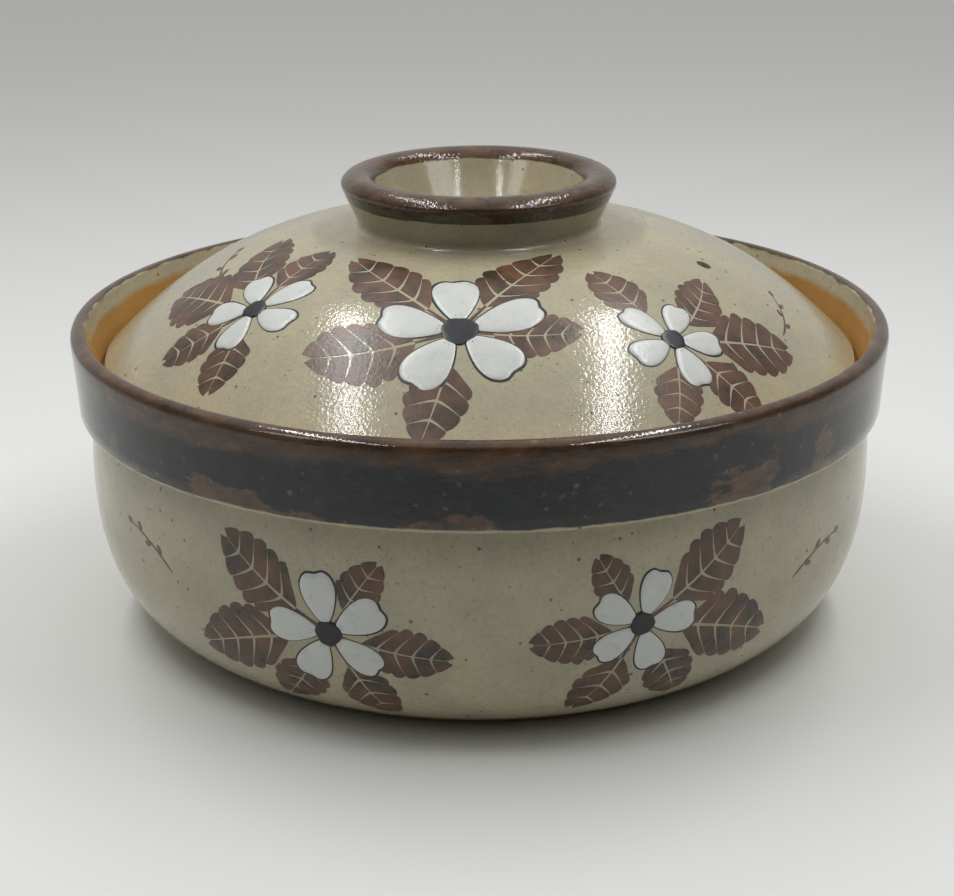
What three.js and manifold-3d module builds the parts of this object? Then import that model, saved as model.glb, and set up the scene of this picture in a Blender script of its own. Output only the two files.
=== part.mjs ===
// A round stoneware casserole dish with a domed lid, in millimetres with +Z up.
// The origin is on the table, in the middle of the foot ring. Every piece is a turned form about the Z axis.

import * as THREE from 'three';
import { mergeVertices } from 'three/addons/utils/BufferGeometryUtils.js';
import Module from 'manifold-3d';

// Rim and collar of the dish
const RIM_RADIUS = 115;
const RIM_HEIGHT = 86.8;
const RIM_WIDTH = 4.2;
const RIM_OUTER_ROUND = 2.6;
const RIM_INNER_ROUND = 1;
const COLLAR_DEPTH = 23.4;
const COLLAR_TAPER = 1.4;
const COLLAR_ROUND = 1.6;
const COLLAR_STEP = 3.4;
const COLLAR_UNDERCUT = 1;

// Wall, foot and floor of the dish
const WALL = 8;
const BELLY_SWELL = 3.64;
const BELLY_FULLNESS = 0.643;
const HIP_FULLNESS = 0.769;
const HIP_RISE = 8;
const FOOT_RADIUS = 86.8;
const FOOT_WIDTH = 7;
const FOOT_HEIGHT = 0.7;
const FOOT_ROUND = 0.5;
const FOOT_RECESS = 2.4;
const FLOOR_THICKNESS = 5.6;
const FLOOR_EASE = 10;

// Ledge inside the collar that carries the lid
const LEDGE_DEPTH = 14;
const LEDGE_OUTER_RADIUS = 107;
const LEDGE_WIDTH = 8.4;
const LEDGE_THICKNESS = 5;
const LEDGE_ROUND = 1;

// Lid
const LID_PLAY = 1.1;
const LID_SEAT_GAP = 0.3;
const LID_WALL = 6;
const LID_EDGE_HEIGHT = 3.6;
const LID_EDGE_ROUND = 1.2;
const LID_RISE = 35.1;
const CROWN_REACH = 32.7;
const CROWN_FALL = 2.7;
const SHOULDER_REACH = 20;
const SHOULDER_FALL = 20.2;
const VENT_DIAMETER = 4;
const VENT_RADIUS = 65;
const VENT_ANGLE = THREE.MathUtils.degToRad(-20);

// Ring that the lid is lifted by
const RING_FOOT_RADIUS = 33.3;
const RING_LIP_RADIUS = 38.6;
const RING_LIP_HEIGHT = 11.7;
const RING_HEIGHT = 14.8;
const RING_LIP_ROUND = 2;
const RING_MOUTH_RADIUS = 29;
const RING_MOUTH_ROUND = 4;
const RING_BORE_RADIUS = 24;

// Fineness of the turned forms
const TURN_STEPS = 64;
const LONG_CURVE_STEPS = 10;
const SHORT_CURVE_STEPS = 3;

const wasm = await Module();
wasm.setup();

const point = (radius, height) => new THREE.Vector2(radius, height);

// Turns a closed outline of radius and height about the Z axis
function turn(outline) {
  const swapYtoZ = new THREE.Matrix4().set(1, 0, 0, 0, 0, 0, -1, 0, 0, 1, 0, 0, 0, 0, 0, 1);
  return new THREE.LatheGeometry(outline, TURN_STEPS).applyMatrix4(swapYtoZ);
}

// A quarter round between two straight stretches, with the corner that it takes off
function round(start, corner, end) {
  return new THREE.QuadraticBezierCurve(start, corner, end).getPoints(SHORT_CURVE_STEPS);
}

// The curve moved sideways by a distance, to the right of its direction when that is positive
function offset(curve, distance) {
  return Array.from({ length: LONG_CURVE_STEPS + 1 }, (_, i) => {
    const along = curve.getTangent(i / LONG_CURVE_STEPS);
    const across = point(along.y, -along.x).multiplyScalar(distance);
    return curve.getPoint(i / LONG_CURVE_STEPS).add(across);
  });
}

// A closed solid from a geometry, without the flat triangles where a turned form meets its axis
function toSolid(geometry) {
  const bare = geometry.clone().deleteAttribute('normal').deleteAttribute('uv');
  const merged = mergeVertices(bare);
  const corners = merged.index.array;
  const triVerts = [];
  for (let i = 0; i < corners.length; i += 3) {
    const [a, b, c] = corners.slice(i, i + 3);
    if (a !== b && b !== c && c !== a) triVerts.push(a, b, c);
  }
  return new wasm.Manifold(new wasm.Mesh({
    numProp: 3,
    vertProperties: Float32Array.from(merged.attributes.position.array),
    triVerts: Uint32Array.from(triVerts),
  }));
}

function toGeometry(solid) {
  const mesh = solid.getMesh();
  const geometry = new THREE.BufferGeometry();
  geometry.setAttribute('position', new THREE.BufferAttribute(mesh.vertProperties, 3));
  geometry.setIndex(new THREE.BufferAttribute(mesh.triVerts, 1));
  geometry.computeVertexNormals();
  return geometry;
}

function piece(name, geometry, colour, roughness) {
  const material = new THREE.MeshStandardMaterial({ color: colour, roughness, metalness: 0 });
  const mesh = new THREE.Mesh(geometry, material);
  mesh.name = name;
  return mesh;
}

// Heights and radii that the pieces share
const ledgeHeight = RIM_HEIGHT - LEDGE_DEPTH;
const ledgeInnerRadius = LEDGE_OUTER_RADIUS - LEDGE_WIDTH;
const lidSeat = ledgeHeight + LID_SEAT_GAP;
const lidRadius = LEDGE_OUTER_RADIUS - LID_PLAY;
const lidShoulder = lidSeat + LID_EDGE_HEIGHT;
const crownHeight = lidShoulder + LID_RISE;

// The pot, thrown in one: floor, wall, sunk ledge, rim, collar, belly and foot ring
function dishBody() {
  const collarFoot = point(RIM_RADIUS - COLLAR_TAPER, RIM_HEIGHT - COLLAR_DEPTH);
  const bellyTop = point(collarFoot.x - COLLAR_STEP, collarFoot.y - COLLAR_UNDERCUT);
  const bellyFoot = point(FOOT_RADIUS, FOOT_HEIGHT);
  const rimInner = RIM_RADIUS - RIM_WIDTH;
  const floor = FOOT_RECESS + FLOOR_THICKNESS;

  const belly = new THREE.CubicBezierCurve(
    bellyTop,
    point(bellyTop.x + BELLY_SWELL, THREE.MathUtils.lerp(bellyTop.y, bellyFoot.y, BELLY_FULLNESS)),
    point(THREE.MathUtils.lerp(bellyFoot.x, bellyTop.x, HIP_FULLNESS), bellyFoot.y + HIP_RISE),
    bellyFoot,
  );
  const inside = offset(belly, WALL);
  const floorEdge = inside.at(-1);
  const cavityFloor = new THREE.QuadraticBezierCurve(
    floorEdge,
    point(floorEdge.x - FLOOR_EASE, floor),
    point(0, floor),
  );

  const footInner = FOOT_RADIUS - FOOT_WIDTH;
  return turn([
    ...cavityFloor.getPoints(SHORT_CURVE_STEPS).reverse(),
    ...inside.slice(0, -1).reverse(),
    point(ledgeInnerRadius, ledgeHeight - LEDGE_THICKNESS),
    ...round(
      point(ledgeInnerRadius, ledgeHeight - LEDGE_ROUND),
      point(ledgeInnerRadius, ledgeHeight),
      point(ledgeInnerRadius + LEDGE_ROUND, ledgeHeight),
    ),
    point(LEDGE_OUTER_RADIUS, ledgeHeight),
    ...round(
      point(rimInner, RIM_HEIGHT - RIM_INNER_ROUND),
      point(rimInner, RIM_HEIGHT),
      point(rimInner + RIM_INNER_ROUND, RIM_HEIGHT),
    ),
    ...round(
      point(RIM_RADIUS - RIM_OUTER_ROUND, RIM_HEIGHT),
      point(RIM_RADIUS, RIM_HEIGHT),
      point(RIM_RADIUS, RIM_HEIGHT - RIM_OUTER_ROUND),
    ),
    ...round(
      point(collarFoot.x, collarFoot.y + COLLAR_ROUND),
      collarFoot,
      point(collarFoot.x - COLLAR_ROUND, collarFoot.y),
    ),
    ...belly.getPoints(LONG_CURVE_STEPS),
    ...round(
      point(FOOT_RADIUS, FOOT_ROUND),
      point(FOOT_RADIUS, 0),
      point(FOOT_RADIUS - FOOT_ROUND, 0),
    ),
    point(footInner, 0),
    point(footInner, FOOT_RECESS),
    point(0, FOOT_RECESS),
  ].reverse());
}

// The lid: an even shell under the dome, a flat edge that sits on the ledge, and the steam vent
function lidDome() {
  const ringFoot = point(RING_FOOT_RADIUS, crownHeight);
  const shoulder = point(lidRadius, lidShoulder);
  const dome = new THREE.CubicBezierCurve(
    ringFoot,
    point(ringFoot.x + CROWN_REACH, ringFoot.y - CROWN_FALL),
    point(shoulder.x - SHOULDER_REACH, shoulder.y + SHOULDER_FALL),
    shoulder,
  );
  const underside = offset(dome, LID_WALL).filter((p) => p.y > lidSeat);
  const underEdge = underside.at(-1);

  const vent = new THREE.CylinderGeometry(VENT_DIAMETER / 2, VENT_DIAMETER / 2, crownHeight, TURN_STEPS / 4)
    .rotateX(Math.PI / 2)
    .translate(VENT_RADIUS * Math.cos(VENT_ANGLE), VENT_RADIUS * Math.sin(VENT_ANGLE), crownHeight);
  const shell = turn([
    point(0, crownHeight),
    ...dome.getPoints(LONG_CURVE_STEPS),
    ...round(
      point(lidRadius, lidSeat + LID_EDGE_ROUND),
      point(lidRadius, lidSeat),
      point(lidRadius - LID_EDGE_ROUND, lidSeat),
    ),
    point(underEdge.x, lidSeat),
    ...underside.reverse(),
    point(0, crownHeight - LID_WALL),
  ].reverse());
  return toGeometry(toSolid(shell).subtract(toSolid(vent)));
}

// The ring on the crown, flared towards its lip and open in the middle for the finger tips
function knobRing() {
  const top = crownHeight + RING_HEIGHT;
  const lipEdge = point(RING_LIP_RADIUS, crownHeight + RING_LIP_HEIGHT);
  const lipTop = new THREE.QuadraticBezierCurve(
    lipEdge,
    point(RING_LIP_RADIUS - RING_LIP_ROUND, top),
    point(RING_MOUTH_RADIUS + RING_MOUTH_ROUND, top),
  );
  return turn([
    point(RING_BORE_RADIUS, crownHeight),
    point(RING_FOOT_RADIUS, crownHeight),
    ...lipTop.getPoints(SHORT_CURVE_STEPS * 2),
    ...round(
      point(RING_MOUTH_RADIUS + RING_MOUTH_ROUND, top),
      point(RING_MOUTH_RADIUS, top),
      point(RING_MOUTH_RADIUS, top - RING_MOUTH_ROUND),
    ).slice(1),
    point(RING_BORE_RADIUS, crownHeight),
  ]);
}

const casseroleDish = new THREE.Group();
casseroleDish.add(
  piece('dish_body', dishBody(), '#a89f8a', 0.3),
  piece('lid_dome', lidDome(), '#b2a890', 0.25),
  piece('knob_ring', knobRing(), '#6b5544', 0.3),
);

export default casseroleDish;
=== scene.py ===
import math
import random

import bpy
import numpy as np
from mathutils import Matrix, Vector


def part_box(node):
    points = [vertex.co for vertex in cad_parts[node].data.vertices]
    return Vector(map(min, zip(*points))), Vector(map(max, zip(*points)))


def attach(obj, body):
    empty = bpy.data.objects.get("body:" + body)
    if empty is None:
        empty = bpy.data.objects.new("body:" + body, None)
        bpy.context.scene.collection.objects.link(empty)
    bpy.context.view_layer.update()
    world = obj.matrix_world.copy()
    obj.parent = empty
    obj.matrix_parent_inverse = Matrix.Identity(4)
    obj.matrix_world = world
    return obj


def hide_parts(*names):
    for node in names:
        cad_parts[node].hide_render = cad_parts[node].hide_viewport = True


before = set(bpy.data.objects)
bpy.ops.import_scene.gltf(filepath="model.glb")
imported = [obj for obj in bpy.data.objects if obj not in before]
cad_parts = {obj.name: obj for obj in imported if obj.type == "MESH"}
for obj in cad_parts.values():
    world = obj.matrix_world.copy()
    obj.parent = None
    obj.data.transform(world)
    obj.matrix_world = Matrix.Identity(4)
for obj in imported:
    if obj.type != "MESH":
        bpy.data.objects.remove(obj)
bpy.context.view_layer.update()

# The dish: a round stoneware pot about 230 mm across, thrown on the wheel in one piece, with a collar that
# stands proud of the belly, a ledge sunk inside it for the lid, and a low foot ring. It was dipped in
# oatmeal glaze, brushed with iron glaze round collar and rim, and left bare on the ledge and the foot.
MM = 0.001
dish_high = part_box("dish_body")[1]
RIM_RADIUS = dish_high.x / MM
RIM_HEIGHT = dish_high.z / MM
RIM_INNER = RIM_RADIUS - 4.2
COLLAR_FOOT = RIM_HEIGHT - 23.4
LEDGE_HEIGHT = RIM_HEIGHT - 14
LEDGE_RADIUS = RIM_RADIUS - 8
LEDGE_MOUTH = LEDGE_RADIUS - 8.4
FOOT_RADIUS = 86.8
FOOT_INNER = FOOT_RADIUS - 7
FOOT_RECESS = 2.4
FLOOR = 8
WALL = 8


def bend(controls, steps):
    """Points on a smooth bend from the first control to the last, which leans to the others."""
    points = []
    for step in range(steps + 1):
        level = [Vector(control) for control in controls]
        while len(level) > 1:
            level = [a.lerp(b, step / steps) for a, b in zip(level, level[1:])]
        points.append(level[0])
    return points


def beside(line, distance):
    """The line again, set off to the right of the way that it runs."""
    ends = [line[0] * 2 - line[1], *line, line[-1] * 2 - line[-2]]
    ways = [(after - before).normalized() for before, after in zip(ends, ends[2:])]
    return [point + Vector((way.y, -way.x)) * distance for point, way in zip(line, ways)]


def turned(name, outline, steps=240):
    """A form off the wheel: its outline of radius and height, in millimetres, spun round the Z axis."""
    bpy.ops.object.select_all(action="DESELECT")
    bpy.ops.mesh.primitive_plane_add(size=1)
    piece = bpy.context.object
    piece.name = name
    bpy.ops.object.mode_set(mode="EDIT")
    bpy.ops.mesh.merge(type="CENTER")
    bpy.ops.transform.translate(value=(outline[0].x * MM, 0, outline[0].y * MM))
    for start, end in zip(outline, outline[1:]):
        move = ((end.x - start.x) * MM, 0, (end.y - start.y) * MM)
        bpy.ops.mesh.extrude_vertices_move(TRANSFORM_OT_translate={"value": move})
    bpy.ops.mesh.select_all(action="SELECT")
    bpy.ops.mesh.spin(steps=steps, angle=math.tau, center=(0, 0, 0), axis=(0, 0, 1))
    bpy.ops.mesh.select_all(action="SELECT")
    bpy.ops.mesh.remove_doubles(threshold=0.02 * MM)
    bpy.ops.mesh.normals_make_consistent(inside=False)
    bpy.ops.object.mode_set(mode="OBJECT")
    bpy.ops.object.shade_smooth_by_angle(angle=math.radians(40))
    return piece


belly_top = Vector((RIM_RADIUS - 4.8, COLLAR_FOOT - 1))
belly_foot = Vector((FOOT_RADIUS, 0.7))
belly_bulge = belly_top + Vector((3.64, -39.7))
belly_turn = belly_foot + Vector((18, 8))
belly = bend([belly_top, belly_bulge, belly_turn, belly_foot], 72)
inside = beside(belly, WALL)
cavity_floor = bend([inside[-1], (inside[-1].x - 10, FLOOR), (0, FLOOR)], 24)
dish = turned("dish", [
    # The cavity, from the middle of its floor up the wall to the lip under the ledge
    *reversed(cavity_floor),
    *reversed(inside[:-1]),
    *bend([(LEDGE_MOUTH + 1.6, LEDGE_HEIGHT - 7.7), (LEDGE_MOUTH, LEDGE_HEIGHT - 5.9),
           (LEDGE_MOUTH, LEDGE_HEIGHT - 4.1)], 4),
    # The ledge and the slanted wall round it
    *bend([(LEDGE_MOUTH, LEDGE_HEIGHT - 1), (LEDGE_MOUTH, LEDGE_HEIGHT),
           (LEDGE_MOUTH + 1, LEDGE_HEIGHT)], 4),
    *bend([(LEDGE_RADIUS - 1, LEDGE_HEIGHT), (LEDGE_RADIUS, LEDGE_HEIGHT),
           (LEDGE_RADIUS + 0.3, LEDGE_HEIGHT + 1)], 4),
    Vector((LEDGE_RADIUS + 2.3, LEDGE_HEIGHT + 7.8)),
    # The rim and the collar
    *bend([(RIM_INNER, RIM_HEIGHT - 1.2), (RIM_INNER + 0.1, RIM_HEIGHT), (RIM_INNER + 1.3, RIM_HEIGHT)], 6),
    *bend([(RIM_RADIUS - 2.6, RIM_HEIGHT), (RIM_RADIUS, RIM_HEIGHT), (RIM_RADIUS, RIM_HEIGHT - 2.6)], 10),
    *bend([(RIM_RADIUS - 0.2, RIM_HEIGHT - 5.7), (RIM_RADIUS - 0.75, RIM_HEIGHT - 11.7),
           (RIM_RADIUS - 1.3, COLLAR_FOOT + 1.6)], 8),
    *bend([(RIM_RADIUS - 1.4, COLLAR_FOOT + 1.4), (RIM_RADIUS - 1.4, COLLAR_FOOT),
           (RIM_RADIUS - 3, COLLAR_FOOT)], 6),
    # The belly, the foot ring and the recess inside it
    *belly,
    *bend([(FOOT_RADIUS, 0.6), (FOOT_RADIUS, 0), (FOOT_RADIUS - 0.6, 0)], 5),
    *bend([(FOOT_INNER + 0.8, 0), (FOOT_INNER, 0), (FOOT_INNER, 0.8)], 5),
    *bend([(FOOT_INNER, FOOT_RECESS - 0.8), (FOOT_INNER, FOOT_RECESS), (FOOT_INNER - 0.8, FOOT_RECESS)], 5),
    Vector((0, FOOT_RECESS)),
])


def linear(colour):
    """An sRGB hex colour as the linear one that shaders take."""
    shares = [int(colour[i:i + 2], 16) / 255 for i in (1, 3, 5)]
    return (*[s / 12.92 if s <= 0.04045 else ((s + 0.055) / 1.055) ** 2.4 for s in shares], 1)


def add(tree, kind, sockets=None, **settings):
    """Adds a node with its settings, and gives its sockets values or links. A Mix node's sockets go by
    number: 0 is its share, 2 and 3 are its numbers, 6 and 7 its colours, and output 2 the mixed one."""
    node = tree.nodes.new("ShaderNode" + kind)
    for name, value in settings.items():
        setattr(node, name, value)
    for name, value in (sockets or {}).items():
        if isinstance(value, bpy.types.NodeSocket):
            tree.links.new(value, node.inputs[name])
        else:
            node.inputs[name].default_value = value
    return node


# Oatmeal stoneware glaze, dipped and fired to a full gloss. Warm and cool clouds drift through it, iron
# grains of the clay burn through as brown specks, and fine pits in its skin break a lamp into sparkles.
# The real pits are finer: here they lie 0.9 mm apart, so that they show.
def oatmeal_glaze(tree, place, pits):
    clouds = add(tree, "TexNoise", {"Vector": place, "Scale": 1 / (16 * MM), "Detail": 5,
                                    "Roughness": 0.62})
    tint = add(tree, "MapRange", {"Value": clouds.outputs["Fac"], "From Min": 0.36, "From Max": 0.64})
    colour = add(tree, "Mix", {0: tint.outputs[0], 6: linear("#aaa48c"), 7: linear("#b8ae90")},
                 data_type="RGBA")
    sand = add(tree, "TexNoise", {"Vector": place, "Scale": 1 / (1.3 * MM), "Detail": 3, "Roughness": 0.6})
    grit = add(tree, "MapRange", {"Value": sand.outputs["Fac"], "From Min": 0.45, "From Max": 0.75,
                                  "To Max": 0.3})
    colour = add(tree, "Mix", {0: grit.outputs[0], 6: colour.outputs[2], 7: linear("#8c836a")},
                 data_type="RGBA")
    for spacing, largest, strength, shade in ((1.7, 0.19, 0.5, "#75674d"), (3.4, 0.15, 0.8, "#54432e")):
        cells = add(tree, "TexVoronoi", {"Vector": place, "Scale": 1 / (spacing * MM)})
        chance = add(tree, "SeparateColor", {"Color": cells.outputs["Color"]})
        grain = add(tree, "Math", {0: chance.outputs["Red"], 1: 2.0}, operation="POWER")
        reach = add(tree, "Math", {0: grain.outputs[0], 1: largest, 2: 0.01}, operation="MULTIPLY_ADD")
        gap = add(tree, "Math", {0: cells.outputs["Distance"], 1: reach.outputs[0]}, operation="SUBTRACT")
        speck = add(tree, "MapRange", {"Value": gap.outputs[0], "From Min": 0.04, "From Max": -0.02,
                                       "To Max": strength})
        colour = add(tree, "Mix", {0: speck.outputs[0], 6: colour.outputs[2], 7: linear(shade)},
                     data_type="RGBA")
    skin = add(tree, "TexNoise", {"Vector": place, "Scale": 1 / (0.9 * MM), "Detail": 1, "Roughness": 0.5})
    relief = add(tree, "Math", {0: skin.outputs["Fac"], 1: pits}, operation="MULTIPLY")
    gloss = add(tree, "MapRange", {"Value": clouds.outputs["Fac"], "To Min": 0.1, "To Max": 0.18})
    return colour.outputs[2], gloss.outputs[0], relief.outputs[0]


# Iron glaze, brushed on over the oatmeal one. Where it lies thick it is near black, drifting to blue, with
# a grey bloom and a few soft pale flecks. Where it runs thin, on edges and in brush marks, it breaks to
# rust and brown. Its pits are drawn as coarse as those of the oatmeal glaze.
def iron_glaze(tree, place, thick, pits):
    bands = add(tree, "Mapping", {"Vector": place, "Scale": (1, 1, 3)})
    brush = add(tree, "TexNoise", {"Vector": bands.outputs[0], "Scale": 1 / (9 * MM), "Detail": 6,
                                   "Roughness": 0.7})
    streak = add(tree, "MapRange", {"Value": brush.outputs["Fac"], "From Min": 0.32, "From Max": 0.68})
    rust = add(tree, "Mix", {0: streak.outputs[0], 6: linear("#35281e"), 7: linear("#6f523a")},
               data_type="RGBA")
    drift = add(tree, "TexNoise", {"Vector": place, "Scale": 1 / (10 * MM), "Detail": 4, "Roughness": 0.62})
    cold = add(tree, "MapRange", {"Value": drift.outputs["Fac"], "From Min": 0.4, "From Max": 0.62})
    black = add(tree, "Mix", {0: cold.outputs[0], 6: linear("#0c0907"), 7: linear("#081015")},
                data_type="RGBA")
    haze = add(tree, "TexNoise", {"Vector": place, "Scale": 1 / (3.2 * MM), "Detail": 4, "Roughness": 0.65})
    bloom = add(tree, "MapRange", {"Value": haze.outputs["Fac"], "From Min": 0.46, "From Max": 0.7,
                                   "To Max": 0.6})
    black = add(tree, "Mix", {0: bloom.outputs[0], 6: black.outputs[2], 7: linear("#2d312f")},
                data_type="RGBA")
    colour = add(tree, "Mix", {0: thick, 6: rust.outputs[2], 7: black.outputs[2]}, data_type="RGBA")
    pull = add(tree, "VectorMath", {0: haze.outputs["Color"], 1: (2.4 * MM,) * 3, 2: place},
               operation="MULTIPLY_ADD")
    cells = add(tree, "TexVoronoi", {"Vector": pull.outputs[0], "Scale": 1 / (3.4 * MM)})
    chance = add(tree, "SeparateColor", {"Color": cells.outputs["Color"]})
    grain = add(tree, "Math", {0: chance.outputs["Red"], 1: 2.4}, operation="POWER")
    reach = add(tree, "Math", {0: grain.outputs[0], 1: 0.27, 2: -0.02}, operation="MULTIPLY_ADD")
    gap = add(tree, "Math", {0: cells.outputs["Distance"], 1: reach.outputs[0]}, operation="SUBTRACT")
    fleck = add(tree, "MapRange", {"Value": gap.outputs[0], "From Min": 0.08, "From Max": -0.14,
                                   "To Max": 0.5})
    colour = add(tree, "Mix", {0: fleck.outputs[0], 6: colour.outputs[2], 7: linear("#7b7d76")},
                 data_type="RGBA")
    skin = add(tree, "TexNoise", {"Vector": place, "Scale": 1 / (0.9 * MM), "Detail": 1, "Roughness": 0.5})
    relief = add(tree, "Math", {0: skin.outputs["Fac"], 1: pits}, operation="MULTIPLY")
    gloss = add(tree, "MapRange", {"Value": brush.outputs["Fac"], "To Min": 0.03, "To Max": 0.13})
    return colour.outputs[2], gloss.outputs[0], relief.outputs[0]


# Bare stoneware clay, wiped clean of glaze and toasted in the kiln. It is matt and sandy, in drifting
# patches of gold and brown.
def toasted_clay(tree, place):
    blush = add(tree, "TexNoise", {"Vector": place, "Scale": 1 / (22 * MM), "Detail": 5, "Roughness": 0.6})
    colour = add(tree, "Mix", {0: blush.outputs["Fac"], 6: linear("#8d6122"), 7: linear("#bd8b40")},
                 data_type="RGBA")
    sand = add(tree, "TexNoise", {"Vector": place, "Scale": 1 / (0.7 * MM), "Detail": 2})
    relief = add(tree, "Math", {0: sand.outputs["Fac"], 1: 0.12}, operation="MULTIPLY")
    gloss = add(tree, "MapRange", {"Value": blush.outputs["Fac"], "To Min": 0.55, "To Max": 0.75})
    return colour.outputs[2], gloss.outputs[0], relief.outputs[0]


def over(tree, below, above, share):
    """One glaze laid over another where its share is 1."""
    colour = add(tree, "Mix", {0: share, 6: below[0], 7: above[0]}, data_type="RGBA")
    gloss = add(tree, "Mix", {0: share, 2: below[1], 3: above[1]})
    relief = add(tree, "Mix", {0: share, 2: below[2], 3: above[2]})
    return colour.outputs[2], gloss.outputs[0], relief.outputs[0]


def fired(tree, glaze):
    """Gives the shader its glaze: colour, roughness, and a relief that counts in millimetres."""
    shader = tree.nodes["Principled BSDF"]
    tree.links.new(glaze[0], shader.inputs["Base Color"])
    tree.links.new(glaze[1], shader.inputs["Roughness"])
    bump = add(tree, "Bump", {"Height": glaze[2], "Distance": MM})
    tree.links.new(bump.outputs[0], shader.inputs["Normal"])
    shader.inputs["IOR"].default_value = 1.52


dish_finish = bpy.data.materials.new("dish_oatmeal_and_iron_glaze")
dish_finish.use_nodes = True
tree = dish_finish.node_tree
place = add(tree, "TexCoord").outputs["Object"]
axes = add(tree, "SeparateXYZ", {"Vector": place})
flat = add(tree, "CombineXYZ", {"X": axes.outputs["X"], "Y": axes.outputs["Y"]})
radius = add(tree, "VectorMath", {0: flat.outputs[0]}, operation="LENGTH").outputs["Value"]
height = axes.outputs["Z"]
long_marks = add(tree, "Mapping", {"Vector": place, "Scale": (1, 1, 1.8)})
ragged = add(tree, "TexNoise", {"Vector": long_marks.outputs[0], "Scale": 1 / (17 * MM), "Detail": 6,
                                "Roughness": 0.68})
waver = add(tree, "TexNoise", {"Vector": place, "Scale": 1 / (7 * MM), "Detail": 3})
# The iron runs thin on the top quarter of the collar, and in patches along its foot
swell = add(tree, "TexNoise", {"Vector": place, "Scale": 1 / (55 * MM), "Detail": 2})
upper = add(tree, "Math", {0: ragged.outputs["Fac"], 1: 11 * MM, 2: height}, operation="MULTIPLY_ADD")
upper = add(tree, "Math", {0: swell.outputs["Fac"], 1: 10 * MM, 2: upper.outputs[0]},
            operation="MULTIPLY_ADD")
thin_top = add(tree, "MapRange", {"Value": upper.outputs[0], "From Min": (RIM_HEIGHT + 2.2) * MM,
                                  "From Max": (RIM_HEIGHT + 6.0) * MM, "To Max": 0.8},
               interpolation_type="SMOOTHSTEP")
islands = add(tree, "TexNoise", {"Vector": place, "Scale": 1 / (31 * MM), "Detail": 2})
lower = add(tree, "Math", {0: ragged.outputs["Fac"], 1: -38 * MM, 2: height}, operation="MULTIPLY_ADD")
lower = add(tree, "Math", {0: islands.outputs["Fac"], 1: -44 * MM, 2: lower.outputs[0]},
            operation="MULTIPLY_ADD")
thin_foot = add(tree, "MapRange", {"Value": lower.outputs[0], "From Min": (COLLAR_FOOT - 38.4) * MM,
                                   "From Max": (COLLAR_FOOT - 41) * MM}, interpolation_type="SMOOTHSTEP")
thin = add(tree, "Math", {0: thin_top.outputs[0], 1: thin_foot.outputs[0]}, operation="MAXIMUM")
thick = add(tree, "Math", {0: 1.0, 1: thin.outputs[0]}, operation="SUBTRACT")
# The iron starts just above the lower edge of the collar, where a pale strip of oatmeal glaze is left as a
# painted highlight along the rounded edge, and ends inside the rim
foot_line = add(tree, "Math", {0: waver.outputs["Fac"], 1: 1.0 * MM, 2: height}, operation="MULTIPLY_ADD")
iron_above_highlight_strip = add(tree, "MapRange", {"Value": foot_line.outputs[0], "From Min": (COLLAR_FOOT + 1.4) * MM,
                                   "From Max": (COLLAR_FOOT + 1.8) * MM})
rim_line = add(tree, "Math", {0: waver.outputs["Fac"], 1: 1.2 * MM, 2: radius}, operation="MULTIPLY_ADD")
from_rim = add(tree, "MapRange", {"Value": rim_line.outputs[0], "From Min": (RIM_INNER + 0.7) * MM,
                                  "From Max": (RIM_INNER + 1.0) * MM})
iron_share = add(tree, "Math", {0: iron_above_highlight_strip.outputs[0], 1: from_rim.outputs[0]}, operation="MULTIPLY")
# The clay shows on the ledge and the lower half of its wall, and under the foot
wiped = add(tree, "Math", {0: waver.outputs["Fac"], 1: -3 * MM, 2: height}, operation="MULTIPLY_ADD")
below_line = add(tree, "MapRange", {"Value": wiped.outputs[0], "From Min": (LEDGE_HEIGHT + 8.9) * MM,
                                    "From Max": (LEDGE_HEIGHT + 6.9) * MM})
past_mouth = add(tree, "MapRange", {"Value": radius, "From Min": (LEDGE_MOUTH + 0.3) * MM,
                                    "From Max": (LEDGE_MOUTH + 0.6) * MM})
above_ledge = add(tree, "MapRange", {"Value": height, "From Min": (LEDGE_HEIGHT - 1.5) * MM,
                                     "From Max": (LEDGE_HEIGHT - 1) * MM})
ledge_share = add(tree, "Math", {0: below_line.outputs[0], 1: past_mouth.outputs[0]}, operation="MULTIPLY")
ledge_share = add(tree, "Math", {0: ledge_share.outputs[0], 1: above_ledge.outputs[0]},
                  operation="MULTIPLY")
foot_share = add(tree, "MapRange", {"Value": height, "From Min": 1.1 * MM, "From Max": 0.8 * MM})
clay_share = add(tree, "Math", {0: ledge_share.outputs[0], 1: foot_share.outputs[0]}, operation="MAXIMUM")
glaze = over(tree, oatmeal_glaze(tree, place, 0.06), toasted_clay(tree, place), clay_share.outputs[0])
glaze = over(tree, glaze, iron_glaze(tree, place, thick.outputs[0], 0.05), iron_share.outputs[0])
fired(tree, glaze)
dish.data.materials.append(dish_finish)
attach(dish, "dish")
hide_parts("dish_body")

# The lid: a thrown stoneware dome with an even wall, in the same oatmeal glaze inside and out. Its flat
# edge is wiped bare where it sits on the ledge, and a small steam vent was cut through it on the right.
lid_low, lid_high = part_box("lid_dome")
LID_RADIUS = lid_high.x / MM
LID_SEAT = lid_low.z / MM
CROWN = lid_high.z / MM
LID_WALL = 6
RING_FOOT = 33.3
VENT_RADIUS = 2
VENT_REACH = 65
VENT_ANGLE = math.radians(-20)

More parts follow.
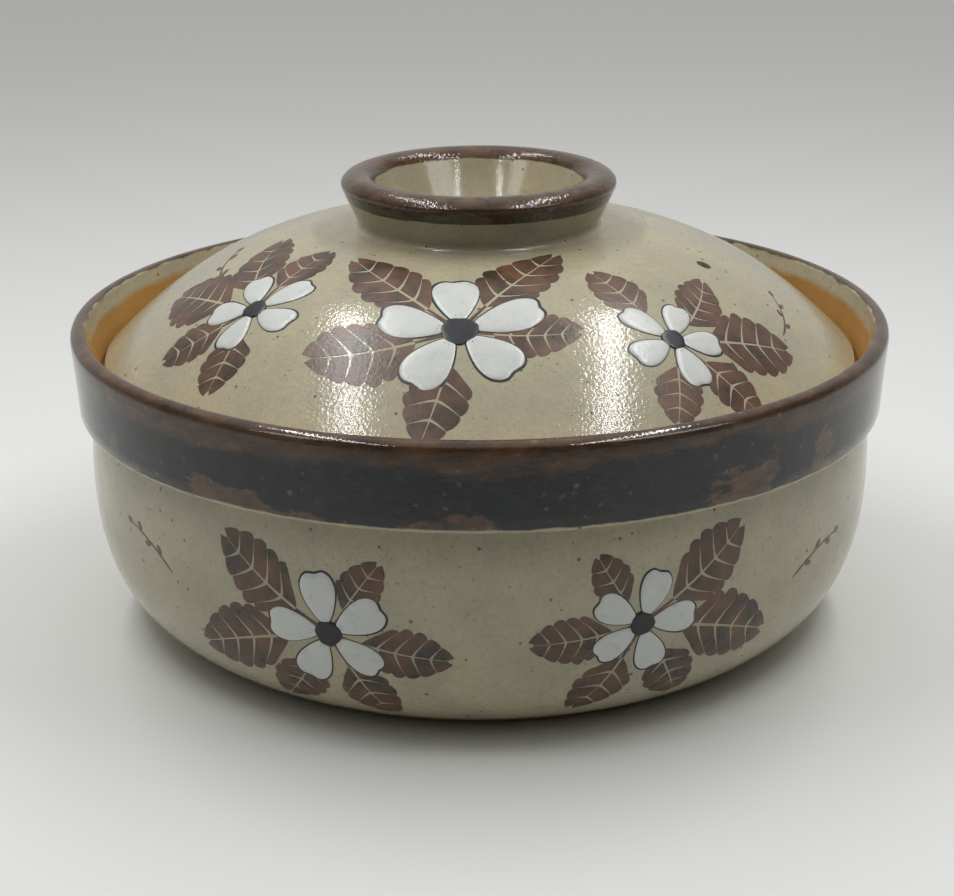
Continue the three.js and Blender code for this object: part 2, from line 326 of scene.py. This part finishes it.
dome = bend([(RING_FOOT, CROWN), (RING_FOOT + 32.7, CROWN - 2.7), (LID_RADIUS - 20, LID_SEAT + 23.8),
             (LID_RADIUS, LID_SEAT + 3.6)], 72)
underside = [point for point in beside(dome, LID_WALL) if point.y > LID_SEAT + 0.4]
lid = turned("lid", [
    Vector((0, CROWN)),
    *dome,
    *bend([(LID_RADIUS, LID_SEAT + 1.2), (LID_RADIUS, LID_SEAT), (LID_RADIUS - 1.2, LID_SEAT)], 5),
    Vector((underside[-1].x, LID_SEAT)),
    *reversed(underside),
    Vector((0, CROWN - LID_WALL)),
])
vent_place = Vector((VENT_REACH * math.cos(VENT_ANGLE), VENT_REACH * math.sin(VENT_ANGLE), CROWN - 6)) * MM
bpy.ops.object.select_all(action="DESELECT")
bpy.ops.mesh.primitive_cylinder_add(vertices=32, radius=VENT_RADIUS * MM, depth=40 * MM,
                                    location=vent_place)
vent_drill = bpy.context.object
bpy.context.view_layer.objects.active = lid
vent = lid.modifiers.new("vent", "BOOLEAN")
vent.object = vent_drill
vent.solver = "EXACT"
bpy.ops.object.modifier_apply(modifier="vent")
bpy.data.objects.remove(vent_drill)

lid_finish = bpy.data.materials.new("lid_oatmeal_glaze")
lid_finish.use_nodes = True
tree = lid_finish.node_tree
place = add(tree, "TexCoord").outputs["Object"]
height = add(tree, "SeparateXYZ", {"Vector": place}).outputs["Z"]
wiped = add(tree, "MapRange", {"Value": height, "From Min": (LID_SEAT + 1.6) * MM,
                               "From Max": (LID_SEAT + 1.2) * MM})
fired(tree, over(tree, oatmeal_glaze(tree, place, 0.07), toasted_clay(tree, place), wiped.outputs[0]))
lid.data.materials.append(lid_finish)
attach(lid, "lid")
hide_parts("lid_dome")

# The ring: a flared stoneware collar stuck with slip to the lid's crown, by which the lid is lifted. Its
# lip is dipped in the iron glaze, which breaks to brown, and neck and hollow keep the oatmeal glaze.
ring_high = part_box("knob_ring")[1]
LIP_RADIUS = ring_high.x / MM
LIP_TOP = ring_high.z / MM
LIP_EDGE = LIP_TOP - 3.1
MOUTH_RADIUS = LIP_RADIUS - 9.6
HOLLOW_FOOT = 22

ring = turned("ring", [
    Vector((HOLLOW_FOOT, CROWN)),
    *bend([(RING_FOOT + 2.1, CROWN - 0.18), (RING_FOOT + 0.5, CROWN), (RING_FOOT + 0.85, CROWN + 2)], 8),
    *bend([(LIP_RADIUS - 0.5, LIP_EDGE - 1.2), (LIP_RADIUS, LIP_EDGE),
           (LIP_RADIUS - 0.3, LIP_EDGE + 0.9)], 6),
    *bend([(LIP_RADIUS - 0.5, LIP_EDGE + 1.2), (LIP_RADIUS - 1.8, LIP_TOP),
           (MOUTH_RADIUS + 4.6, LIP_TOP)], 12),
    *bend([(MOUTH_RADIUS + 4.6, LIP_TOP), (MOUTH_RADIUS + 1.5, LIP_TOP),
           (MOUTH_RADIUS + 0.3, LIP_TOP - 1.4), (MOUTH_RADIUS - 0.6, LIP_TOP - 4.2)], 12)[1:],
    *bend([(HOLLOW_FOOT + 2.7, CROWN + 2), (HOLLOW_FOOT + 2, CROWN + 0.4), (HOLLOW_FOOT, CROWN)], 6),
])
ring_finish = bpy.data.materials.new("ring_iron_and_oatmeal_glaze")
ring_finish.use_nodes = True
tree = ring_finish.node_tree
place = add(tree, "TexCoord").outputs["Object"]
axes = add(tree, "SeparateXYZ", {"Vector": place})
height = axes.outputs["Z"]
flat = add(tree, "CombineXYZ", {"X": axes.outputs["X"], "Y": axes.outputs["Y"]})
radius = add(tree, "VectorMath", {0: flat.outputs[0]}, operation="LENGTH").outputs["Value"]
# The lip was dipped to a line that lies lower outside than inside, and wavers by hand
waver = add(tree, "TexNoise", {"Vector": place, "Scale": 1 / (14 * MM), "Detail": 3})
dip = add(tree, "Math", {0: waver.outputs["Fac"], 1: 1.4 * MM, 2: height}, operation="MULTIPLY_ADD")
lean = add(tree, "MapRange", {"Value": radius, "From Min": 30 * MM, "From Max": 36 * MM, "To Max": 4 * MM})
dip = add(tree, "Math", {0: dip.outputs[0], 1: lean.outputs[0]}, operation="ADD")
dipped = add(tree, "MapRange", {"Value": dip.outputs[0], "From Min": (CROWN + 12.6) * MM,
                                "From Max": (CROWN + 13.0) * MM})
# A thin wash of it ran down the neck; the darker neck is also painted shade under the lip
neck_wash_and_shade = add(tree, "MapRange", {"Value": radius, "From Min": 31.5 * MM, "From Max": 33.5 * MM, "To Max": 0.28})
neck = add(tree, "MapRange", {"Value": height, "From Min": (CROWN + 0.6) * MM,
                              "From Max": (CROWN + 2) * MM})
neck_wash_and_shade = add(tree, "Math", {0: neck_wash_and_shade.outputs[0], 1: neck.outputs[0]}, operation="MULTIPLY")
iron_share = add(tree, "Math", {0: dipped.outputs[0], 1: neck_wash_and_shade.outputs[0]}, operation="MAXIMUM")
# It lies thicker in pools on the lip, and where it hung below the lip's edge; the dark band below the edge
# is also painted shade under the lip
pools = add(tree, "TexNoise", {"Vector": place, "Scale": 1 / (6 * MM), "Detail": 5, "Roughness": 0.65})
pooled = add(tree, "MapRange", {"Value": pools.outputs["Fac"], "From Min": 0.48, "From Max": 0.68,
                                "To Max": 0.5})
hung_and_shaded = add(tree, "MapRange", {"Value": height, "From Min": (LIP_EDGE + 0.4) * MM,
                              "From Max": (LIP_EDGE - 1.0) * MM, "To Max": 0.65})
thick = add(tree, "Math", {0: pooled.outputs[0], 1: hung_and_shaded.outputs[0]}, operation="MAXIMUM")
glaze = over(tree, oatmeal_glaze(tree, place, 0.025), iron_glaze(tree, place, thick.outputs[0], 0.15),
             iron_share.outputs[0])
fired(tree, glaze)
ring.data.materials.append(ring_finish)
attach(ring, "lid")
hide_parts("knob_ring")

# The painting: flowers of white enamel trailed thickly over the glaze round blue-black hearts, each petal
# edged with a dark brush line, and leaves and stems in brown slip with their veins left bare. It was done
# by hand on the front of lid and belly before the last firing, and lies up to 0.6 mm proud.
DAB_SUNK = 0.06
BRUSH_SUNK = 0.05
LEAF_LAYER = 0.13
SPRIG_LAYER = 0.12
STALK = 12


def along(line, distance):
    """Radius, height and outward lean of a turned form at distances down its line."""
    points = np.array([tuple(point) for point in line])
    marks = np.concatenate([[0], np.cumsum(np.hypot(*np.diff(points, axis=0).T))])
    ways = np.gradient(points, marks, axis=0)
    ways /= np.linalg.norm(ways, axis=1)[:, None]
    columns = (points[:, 0], points[:, 1], -ways[:, 1], ways[:, 0])
    return [np.interp(distance, marks, column) for column in columns]


def laid(drawing, line, azimuth, down, turn=0, size=1):
    """A copy of a flat drawing bent onto a turned form. The drawing's origin comes so many degrees to the
    right of the front and so many millimetres down the line, and it is turned to the left about it."""
    bpy.ops.object.select_all(action="DESELECT")
    drawing.select_set(True)
    bpy.context.view_layer.objects.active = drawing
    bpy.ops.object.duplicate()
    copy = bpy.context.object
    flat_points = np.empty(len(copy.data.vertices) * 3)
    copy.data.vertices.foreach_get("co", flat_points)
    x, y, z = flat_points.reshape(-1, 3).T / MM
    c, s = math.cos(math.radians(turn)) * size, math.sin(math.radians(turn)) * size
    form_radius, form_height, lean_out, lean_up = along(line, down - (x * s + y * c))
    angle = math.radians(azimuth) + (x * c - y * s) / form_radius
    reach = form_radius + lean_out * z
    placed = np.stack([reach * np.sin(angle), -reach * np.cos(angle), form_height + lean_up * z], 1) * MM
    copy.data.vertices.foreach_set("co", placed.ravel())
    copy.data.update()
    return copy


def dab(name, corners, shape, edge, crown):
    """A dab of thick colour: a disc pulled into its shape, lifted by its edge and crowned in steps."""
    bpy.ops.object.select_all(action="DESELECT")
    bpy.ops.mesh.primitive_circle_add(vertices=corners, radius=1, fill_type="NGON")
    piece = bpy.context.object
    piece.name = name
    for corner in piece.data.vertices:
        across, up = shape(corner.co.x, corner.co.y)
        corner.co = (across * MM, up * MM, -DAB_SUNK * MM)
    bpy.ops.object.mode_set(mode="EDIT")
    bpy.ops.mesh.select_all(action="SELECT")
    bpy.ops.mesh.extrude_region_move(TRANSFORM_OT_translate={"value": (0, 0, (edge + DAB_SUNK) * MM)})
    for inset, rise in crown:
        bpy.ops.mesh.inset(thickness=inset * MM, depth=rise * MM)
    bpy.ops.mesh.poke()
    bpy.ops.mesh.select_all(action="SELECT")
    bpy.ops.mesh.normals_make_consistent(inside=False)
    bpy.ops.object.mode_set(mode="OBJECT")
    bpy.ops.object.shade_smooth_by_angle(angle=math.radians(60))
    return piece


def petal_edge(half_width, middle, half_length, notch, notch_width):
    """The edge of a petal, or of the brush line that stands out from under it: narrow at the heart, broad
    and faintly notched at the tip."""
    def shape(x, y):
        width = half_width * x * (0.7 + 0.3 * y)
        dent = notch * max(0, y) * math.exp(-(width / notch_width) ** 2)
        return width, middle + half_length * y - dent
    return shape


def heart_shape(x, y):
    """A disc as round as one turn of the brush makes it."""
    turn = math.atan2(y, x)
    reach = 4.7 * (1 + 0.05 * math.sin(3 * turn + 1) + 0.03 * math.sin(7 * turn))
    return x * reach, y * reach


def brushed(name, parts, layer, weld=0):
    """Joins the parts of a brush mark to the one made last, and gives them their layer of slip."""
    for part in parts:
        part.select_set(True)
    bpy.ops.object.join()
    mark = bpy.context.object
    mark.name = name
    bpy.ops.object.mode_set(mode="EDIT")
    bpy.ops.mesh.select_all(action="SELECT")
    if weld:
        bpy.ops.mesh.remove_doubles(threshold=weld * MM)
    bpy.ops.mesh.extrude_region_move(TRANSFORM_OT_translate={"value": (0, 0, layer * MM)})
    bpy.ops.mesh.select_all(action="SELECT")
    bpy.ops.mesh.normals_make_consistent(inside=False)
    bpy.ops.object.mode_set(mode="OBJECT")
    return mark


def leaf_blade(name, length, half_width, bow, panels):
    """A leaf in brown slip on a stalk that starts under the flower. One panel of colour fills each step
    between two side veins, on both sides of the rib, and the veins are left bare."""
    hand = random.Random(name)
    bpy.ops.object.select_all(action="DESELECT")
    parts = []
    for side in (-1, 1):
        for panel in range(panels):
            bpy.ops.mesh.primitive_grid_add(x_subdivisions=6, y_subdivisions=7, size=2)
            part = bpy.context.object
            lobe = hand.uniform(0.1, 0.2)
            for corner in part.data.vertices:
                step = (corner.co.x + 1) / 2
                out = (corner.co.y + 1) / 2
                vein = 0.085 * (1 - 0.8 * out)
                share = (panel + vein + (1 - 2 * vein) * step) / panels
                rib = 0.93 * share
                margin = rib + 0.05 + 0.17 * (1 - share)
                width = half_width * math.sin(math.pi * min(margin, 1) ** 0.9) ** 0.7
                width *= 0.9 + lobe * math.sin(math.pi * step) ** 0.6
                gap = 0.017 * (1 - 0.7 * share)
                up = rib + (margin - rib) * out ** 1.25
                across = side * (gap + max(width - gap, 0) * out) + bow * up * up
                corner.co = (across * length * MM, (up * length + STALK) * MM, -BRUSH_SUNK * MM)
            parts.append(part)
    bpy.ops.mesh.primitive_grid_add(x_subdivisions=2, y_subdivisions=6, size=2)
    stalk = bpy.context.object
    for corner in stalk.data.vertices:
        share = (corner.co.y + 1) / 2
        across = corner.co.x * 0.6 * (1 - 0.4 * share)
        corner.co = (across * MM, (4 + (STALK - 3.5) * share) * MM, -BRUSH_SUNK * MM)
    return brushed(name, [*parts, stalk], LEAF_LAYER)


def sprig(name, length, bow, width, buds):
    """One stroke of the brush, full where it starts and fine where it lifts off, with buds beside it."""
    bpy.ops.object.select_all(action="DESELECT")
    bpy.ops.mesh.primitive_grid_add(x_subdivisions=2, y_subdivisions=18, size=2)
    stem = bpy.context.object
    for corner in stem.data.vertices:
        share = (corner.co.y + 1) / 2
        half = width / 2 * (1 - 0.7 * share) * min(1, 0.3 + 6 * share)
        across = corner.co.x * half + bow * length * 4 * share * (1 - share)
        corner.co = (across * MM, share * length * MM, -BRUSH_SUNK * MM)
    parts = [stem]
    for bud in range(buds):
        bpy.ops.mesh.primitive_grid_add(x_subdivisions=4, y_subdivisions=6, size=2)
        part = bpy.context.object
        share = (bud + 1.2) / (buds + 0.2)
        side = (-1) ** bud * (1 if share < 1 else 0)
        for corner in part.data.vertices:
            lift = corner.co.y
            across = corner.co.x * 1.25 * math.sqrt(max(0, 1 - lift * lift)) + side * (1.9 + 0.7 * lift)
            across += bow * length * 4 * share * (1 - share)
            corner.co = (across * MM, (share * length + 2.2 * lift + 1) * MM, -BRUSH_SUNK * MM)
        parts.append(part)
    return brushed(name, parts, SPRIG_LAYER, weld=0.01)


def gathered(name, copies):
    """All copies of one colour on one piece, as a single painted layer."""
    bpy.ops.object.select_all(action="DESELECT")
    for copy in copies:
        copy.select_set(True)
    bpy.context.view_layer.objects.active = copies[0]
    bpy.ops.object.join()
    layer = bpy.context.object
    layer.name = name
    return layer


petal = dab("petal", 40, petal_edge(8.0, 12.6, 9.4, 1.3, 2.3), 0.14, [(0.3, 0.14), (0.8, 0.1), (1.6, 0.05)])
petal_line = dab("petal_line", 40, petal_edge(8.75, 12.7, 10.0, 1.2, 2.2), 0.06, [(1.1, 0)])
heart = dab("heart", 28, heart_shape, 0.4, [(0.35, 0.09), (1.0, 0.05), (1.4, 0.02)])
leaf_right = leaf_blade("leaf_right", 34, 0.31, 0.1, 5)
leaf_left = leaf_blade("leaf_left", 34, 0.31, -0.1, 5)
leaf_small = leaf_blade("leaf_small", 26, 0.33, 0.06, 4)
sprig_right = sprig("sprig_right", 34, 0.07, 1.2, 4)
sprig_left = sprig("sprig_left", 34, -0.07, 1.2, 4)

# Where each mark lies: degrees from the front, millimetres down, turn to the left and size
lid_flowers = [(-4, 41, 8, 1), (-51, 44, -22, 0.72), (37, 51, 30, 0.68)]
lid_leaves = [
    (leaf_left, -4, 41, 47, 0.95), (leaf_right, -4, 41, 113, 0.95), (leaf_left, -4, 41, -98, 0.7),
    (leaf_right, -4, 41, -31, 0.93), (leaf_small, -4, 41, 170, 0.95),
    (leaf_right, -51, 44, 58, 0.86), (leaf_left, -51, 44, 100, 0.95), (leaf_small, -51, 44, 150, 0.8),
    (leaf_small, -51, 44, 12, 0.82), (leaf_small, -51, 44, -158, 0.8),
    (leaf_left, 37, 51, -66, 0.7), (leaf_right, 37, 51, -108, 0.92), (leaf_small, 37, 51, -155, 0.8),
    (leaf_small, 37, 51, 8, 0.85), (leaf_small, 37, 51, 152, 0.75),
]
lid_sprigs = [(sprig_left, -71, 42, 74, 0.7), (sprig_right, 63, 62, -62, 0.6)]
dish_flowers = [(-20, 29, 12, 0.75), (21, 27, -16, 0.69)]
dish_leaves = [
    (leaf_right, -20, 29, 58, 0.82), (leaf_left, -20, 29, 104, 0.95), (leaf_small, -20, 29, 150, 0.85),
    (leaf_small, -20, 29, -32, 0.66), (leaf_left, -20, 29, -104, 0.7), (leaf_small, -20, 29, -155, 0.85),
    (leaf_left, 21, 27, -58, 0.8), (leaf_right, 21, 27, -103, 0.93), (leaf_small, 21, 27, -150, 0.85),
    (leaf_small, 21, 27, 34, 0.62), (leaf_right, 21, 27, 100, 0.64), (leaf_small, 21, 27, 155, 0.85),
]
dish_sprigs = [(sprig_right, -46, 24, 66, 0.62), (sprig_left, 47, 27, -74, 0.66)]

# White enamel, soft and a little grey where it thins, with the gloss and the pin holes of the last firing
enamel = bpy.data.materials.new("white_enamel")
enamel.use_nodes = True
tree = enamel.node_tree
place = add(tree, "TexCoord").outputs["Object"]
milk = add(tree, "TexNoise", {"Vector": place, "Scale": 1 / (5 * MM), "Detail": 4, "Roughness": 0.6})
white = add(tree, "Mix", {0: milk.outputs["Fac"], 6: linear("#bfc3c0"), 7: linear("#dddfd8")},
            data_type="RGBA")
skin = add(tree, "TexNoise", {"Vector": place, "Scale": 1 / (1.2 * MM), "Detail": 2})
relief = add(tree, "Math", {0: skin.outputs["Fac"], 1: 0.07}, operation="MULTIPLY")
gloss = add(tree, "MapRange", {"Value": milk.outputs["Fac"], "To Min": 0.22, "To Max": 0.36})
fired(tree, (white.outputs[2], gloss.outputs[0], relief.outputs[0]))

# Brown slip, clay with iron in it, brushed on: reddish where it is thin, olive dark where the brush paused
slip = bpy.data.materials.new("brown_slip")
slip.use_nodes = True
tree = slip.node_tree
place = add(tree, "TexCoord").outputs["Object"]
wash = add(tree, "TexNoise", {"Vector": place, "Scale": 1 / (9 * MM), "Detail": 5, "Roughness": 0.6})
pause = add(tree, "MapRange", {"Value": wash.outputs["Fac"], "From Min": 0.38, "From Max": 0.62})
brown = add(tree, "Mix", {0: pause.outputs[0], 6: linear("#40342a"), 7: linear("#6d4d3a")},
            data_type="RGBA")
skin = add(tree, "TexNoise", {"Vector": place, "Scale": 1 / (1.1 * MM), "Detail": 2})
relief = add(tree, "Math", {0: skin.outputs["Fac"], 1: 0.06}, operation="MULTIPLY")
gloss = add(tree, "MapRange", {"Value": wash.outputs["Fac"], "To Min": 0.22, "To Max": 0.36})
fired(tree, (brown.outputs[2], gloss.outputs[0], relief.outputs[0]))

# Blue-black slip of the hearts and brush lines, almost black, with a cold bloom where it is thick
dark_slip = bpy.data.materials.new("blue_black_slip")
dark_slip.use_nodes = True
tree = dark_slip.node_tree
place = add(tree, "TexCoord").outputs["Object"]
bloom = add(tree, "TexNoise", {"Vector": place, "Scale": 1 / (3 * MM), "Detail": 4})
dark = add(tree, "Mix", {0: bloom.outputs["Fac"], 6: linear("#0b0d10"), 7: linear("#1b1f26")},
           data_type="RGBA")
relief = add(tree, "Math", {0: bloom.outputs["Fac"], 1: 0.06}, operation="MULTIPLY")
gloss = add(tree, "MapRange", {"Value": bloom.outputs["Fac"], "To Min": 0.25, "To Max": 0.45})
fired(tree, (dark.outputs[2], gloss.outputs[0], relief.outputs[0]))

hand = random.Random(11)
for body, line, flowers, leaves, sprigs in (
    ("lid", dome, lid_flowers, lid_leaves, lid_sprigs),
    ("dish", belly, dish_flowers, dish_leaves, dish_sprigs),
):
    petals = []
    lines = []
    hearts = []
    for azimuth, down, turn, size in flowers:
        for fifth in range(5):
            slant = turn + 72 * fifth + hand.uniform(-4, 4)
            length = size * hand.uniform(0.94, 1.05)
            petals.append(laid(petal, line, azimuth, down, slant, length))
            lines.append(laid(petal_line, line, azimuth, down, slant + hand.uniform(-1, 1), length))
        hearts.append(laid(heart, line, azimuth, down, turn, size))
    blades = [laid(drawing, line, *mark) for drawing, *mark in leaves + sprigs]
    for name, copies, finish in (
        ("petals", petals, enamel),
        ("petal_lines", lines, dark_slip),
        ("hearts", hearts, dark_slip),
        ("leaves", blades, slip),
    ):
        layer = gathered(body + "_" + name, copies)
        layer.data.materials.append(finish)
        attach(layer, body)
for drawing in (petal, petal_line, heart, leaf_right, leaf_left, leaf_small, sprig_right, sprig_left):
    bpy.data.objects.remove(drawing)

# The stage: a plain pale sheet under the pot, in a white light tent. Two lamp strips run overhead from
# front to back, the tent's sides and back glow, and the side that the camera looks in by is dark.
PAPER = linear("#e6e7e4")
# Grey of the card before the pot, painted shade for the tent's dark front
PAINTED_SHADE_GREY = linear("#77787a")
STRIP_HEIGHT = 0.62
STRIP_APART = 0.26
STRIP_SPLAY = 0.15
STRIP_WIDTH = 0.032
STRIP_WATTS_PER_METRE = 2.7
PANEL_TALL = 0.22
PANEL_WATTS_PER_SQUARE_METRE = 10
POT_MIDDLE = Vector((0, 0, 0.12))

bpy.ops.object.select_all(action="DESELECT")
bpy.ops.mesh.primitive_plane_add(size=40)
floor = bpy.context.object
floor.name = "floor"
floor_finish = bpy.data.materials.new("pale_paper_sheet")
floor_finish.use_nodes = True
paper = floor_finish.node_tree.nodes["Principled BSDF"]
paper.inputs["Base Color"].default_value = PAPER
paper.inputs["Roughness"].default_value = 0.7
paper.inputs["Specular IOR Level"].default_value = 0.2
floor.data.materials.append(floor_finish)

# A graded card lies before the pot as painted shade on the sheet in front: pale like the sheet at its far
# edge, and grey from 0.16 m on. Only the pot sees it, and it keeps the pot's front deep in tone. Its
# underside is clear, so the sheet is still lit
bpy.ops.mesh.primitive_plane_add(size=2, location=(0, -1.2, 0.001))
card = bpy.context.object
card.name = "card"
card_finish = bpy.data.materials.new("painted_shade_card")
card_finish.use_nodes = True
tree = card_finish.node_tree
deep = add(tree, "SeparateXYZ", {"Vector": add(tree, "TexCoord").outputs["Object"]})
grade = add(tree, "MapRange", {"Value": deep.outputs["Y"], "From Min": 0.84, "From Max": 1})
tone = add(tree, "Mix", {0: grade.outputs[0], 6: PAINTED_SHADE_GREY, 7: PAPER}, data_type="RGBA")
shade_card_shader = tree.nodes["Principled BSDF"]
tree.links.new(tone.outputs[2], shade_card_shader.inputs["Base Color"])
shade_card_shader.inputs["Roughness"].default_value = 0.8
under = add(tree, "NewGeometry").outputs["Backfacing"]
seen = add(tree, "Math", {0: 1.0, 1: under}, operation="SUBTRACT")
tree.links.new(seen.outputs[0], shade_card_shader.inputs["Alpha"])
card.data.materials.append(card_finish)
card.visible_camera = False
card.visible_shadow = False

# Each strip is two lamps in line. The one in front only shows in reflections
for side in (-1, 1):
    for middle, length, lights_paper in ((0, 0.6, True), (-0.525, 0.45, False)):
        place = (side * (STRIP_APART - STRIP_SPLAY * middle), middle, STRIP_HEIGHT)
        bpy.ops.object.light_add(type="AREA", location=place)
        strip = bpy.context.object
        strip.rotation_euler.z = side * math.atan(STRIP_SPLAY)
        strip.data.shape = "RECTANGLE"
        strip.data.size = STRIP_WIDTH
        strip.data.size_y = length
        strip.data.energy = STRIP_WATTS_PER_METRE * length
        strip.visible_camera = False
        strip.visible_diffuse = lights_paper

# Two soft panels of different widths stand in one place at each front corner, so that their shine fades
# to its edges. They only show in reflections
for side, width in ((-1, 0.1), (-1, 0.2), (1, 0.2), (1, 0.36)):
    place = Vector((side * 0.48, -0.38, 0.46))
    bpy.ops.object.light_add(type="AREA", location=place)
    panel = bpy.context.object
    panel.rotation_euler = (place - POT_MIDDLE).to_track_quat("Z", "Y").to_euler()
    panel.data.shape = "RECTANGLE"
    panel.data.size = width
    panel.data.size_y = PANEL_TALL
    panel.data.energy = PANEL_WATTS_PER_SQUARE_METRE * width * PANEL_TALL
    panel.visible_camera = False
    panel.visible_diffuse = False

# The tent glows from its roof, its back, its left side and faintly its right side
tent = bpy.data.worlds.new("light_tent")
bpy.context.scene.world = tent
tent.use_nodes = True
tree = tent.node_tree
way = add(tree, "SeparateXYZ", {"Vector": add(tree, "TexCoord").outputs["Generated"]})
glow = 0.0
for axis, edge, full, strength in (
    ("Z", 0.5, 0.95, 0.75), ("Y", 0.2, 0.9, 0.48), ("X", -0.2, -0.9, 0.16), ("X", 0.2, 0.9, 0.07),
):
    lit = add(tree, "MapRange", {"Value": way.outputs[axis], "From Min": edge, "From Max": full,
                                 "To Max": strength}, interpolation_type="SMOOTHSTEP")
    glow = add(tree, "Math", {0: glow, 1: lit.outputs[0]}, operation="ADD").outputs[0]
tree.nodes["Background"].inputs["Color"].default_value = (1, 1, 1, 1)
tree.links.new(glow, tree.nodes["Background"].inputs["Strength"])

# The camera stands a little over half a metre in front of the pot and looks down on it by twenty degrees.
AIM = Vector((-0.00088, 0, 0.04429))
PITCH = math.radians(19.913)
YAW = math.radians(-0.317)
DISTANCE = 0.6
bpy.ops.object.camera_add(location=AIM + Vector((0, -math.cos(PITCH), math.sin(PITCH))) * DISTANCE)
camera = bpy.context.object
camera.rotation_mode = "ZXY"
camera.rotation_euler = (math.pi / 2 - PITCH, 0, YAW)
camera.data.sensor_width = 36
camera.data.lens = 77.47
bpy.context.scene.camera = camera
bpy.context.scene.view_settings.view_transform = "Standard"
